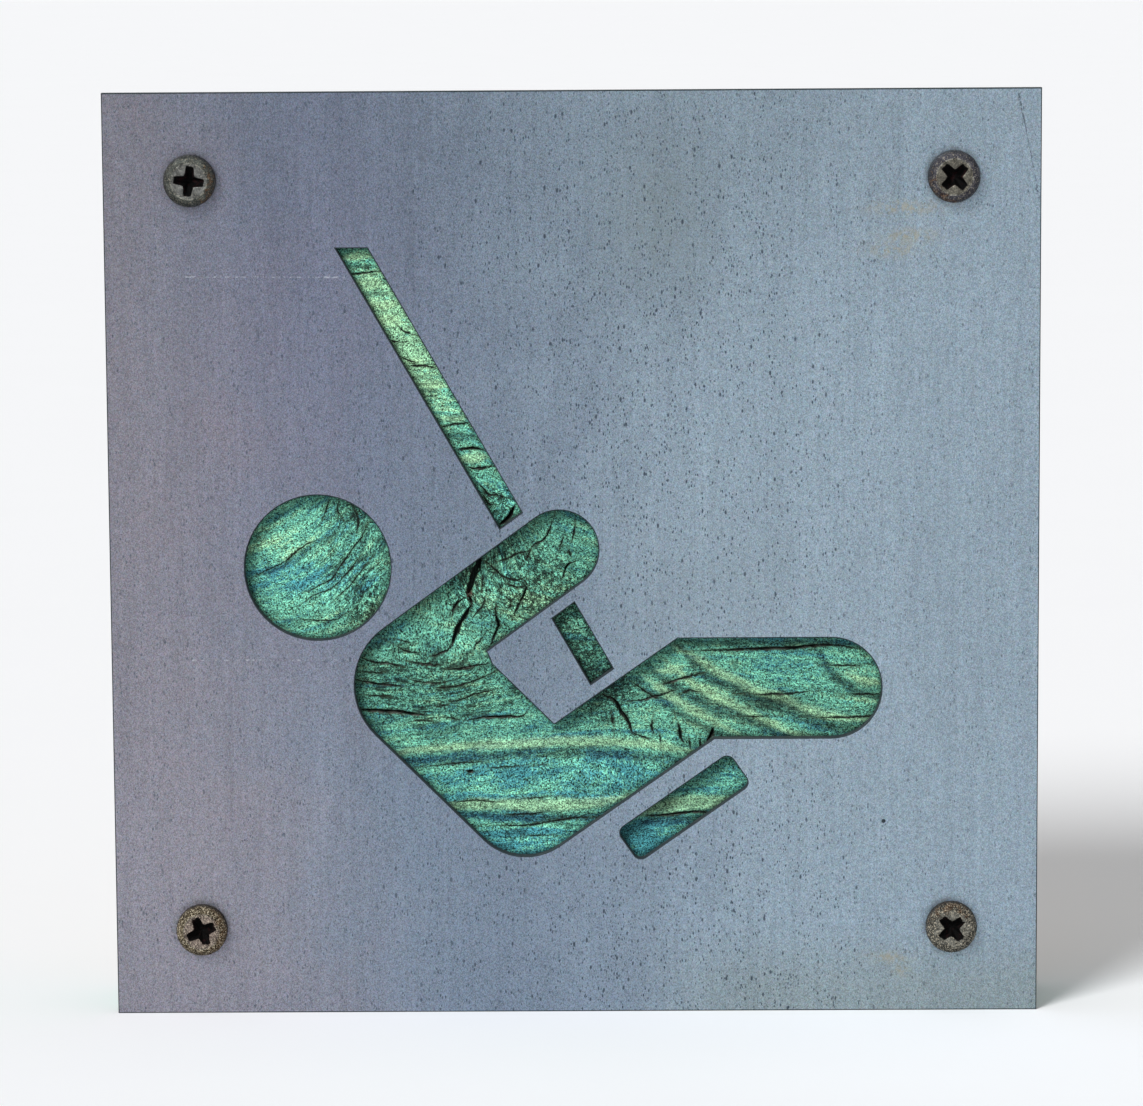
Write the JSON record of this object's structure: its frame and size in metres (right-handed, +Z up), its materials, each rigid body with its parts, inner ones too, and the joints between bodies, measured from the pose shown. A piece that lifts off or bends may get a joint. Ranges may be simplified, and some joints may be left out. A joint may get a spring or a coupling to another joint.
{
  "type": "silhouette sign",
  "caption": "Square steel sign with a swing pictogram cut through it, screwed to a stained wooden board that shows in the openings, with a keyhole hanger let into the back.",
  "frame": {"origin": "middle of the base that the sign stands on, midway between the plate's front face and the board's back face", "axes": "+X to the right as seen from the front, +Y from the front face towards the wall, +Z up"},
  "size_m": [0.15, 0.0226, 0.15],
  "materials": {
    "plate_steel": "raw blue-grey sheet steel, matt, with fine pits and faint rust",
    "stained_wood": "weathered softwood with a green stain, cracked along the grain",
    "rusty_steel": "dull steel with brown rust",
    "zinc_steel": "zinc-plated, satin"
  },
  "bodies": {
    "root": {"face_plate": "plate_steel", "backing_board": "stained_wood", "screw_top_left": "rusty_steel", "screw_top_right": "rusty_steel", "screw_bottom_left": "rusty_steel", "screw_bottom_right": "rusty_steel", "keyhole_hanger": "zinc_steel", "hanger_screw_upper": "zinc_steel", "hanger_screw_lower": "zinc_steel"}
  },
  "joints": []
}
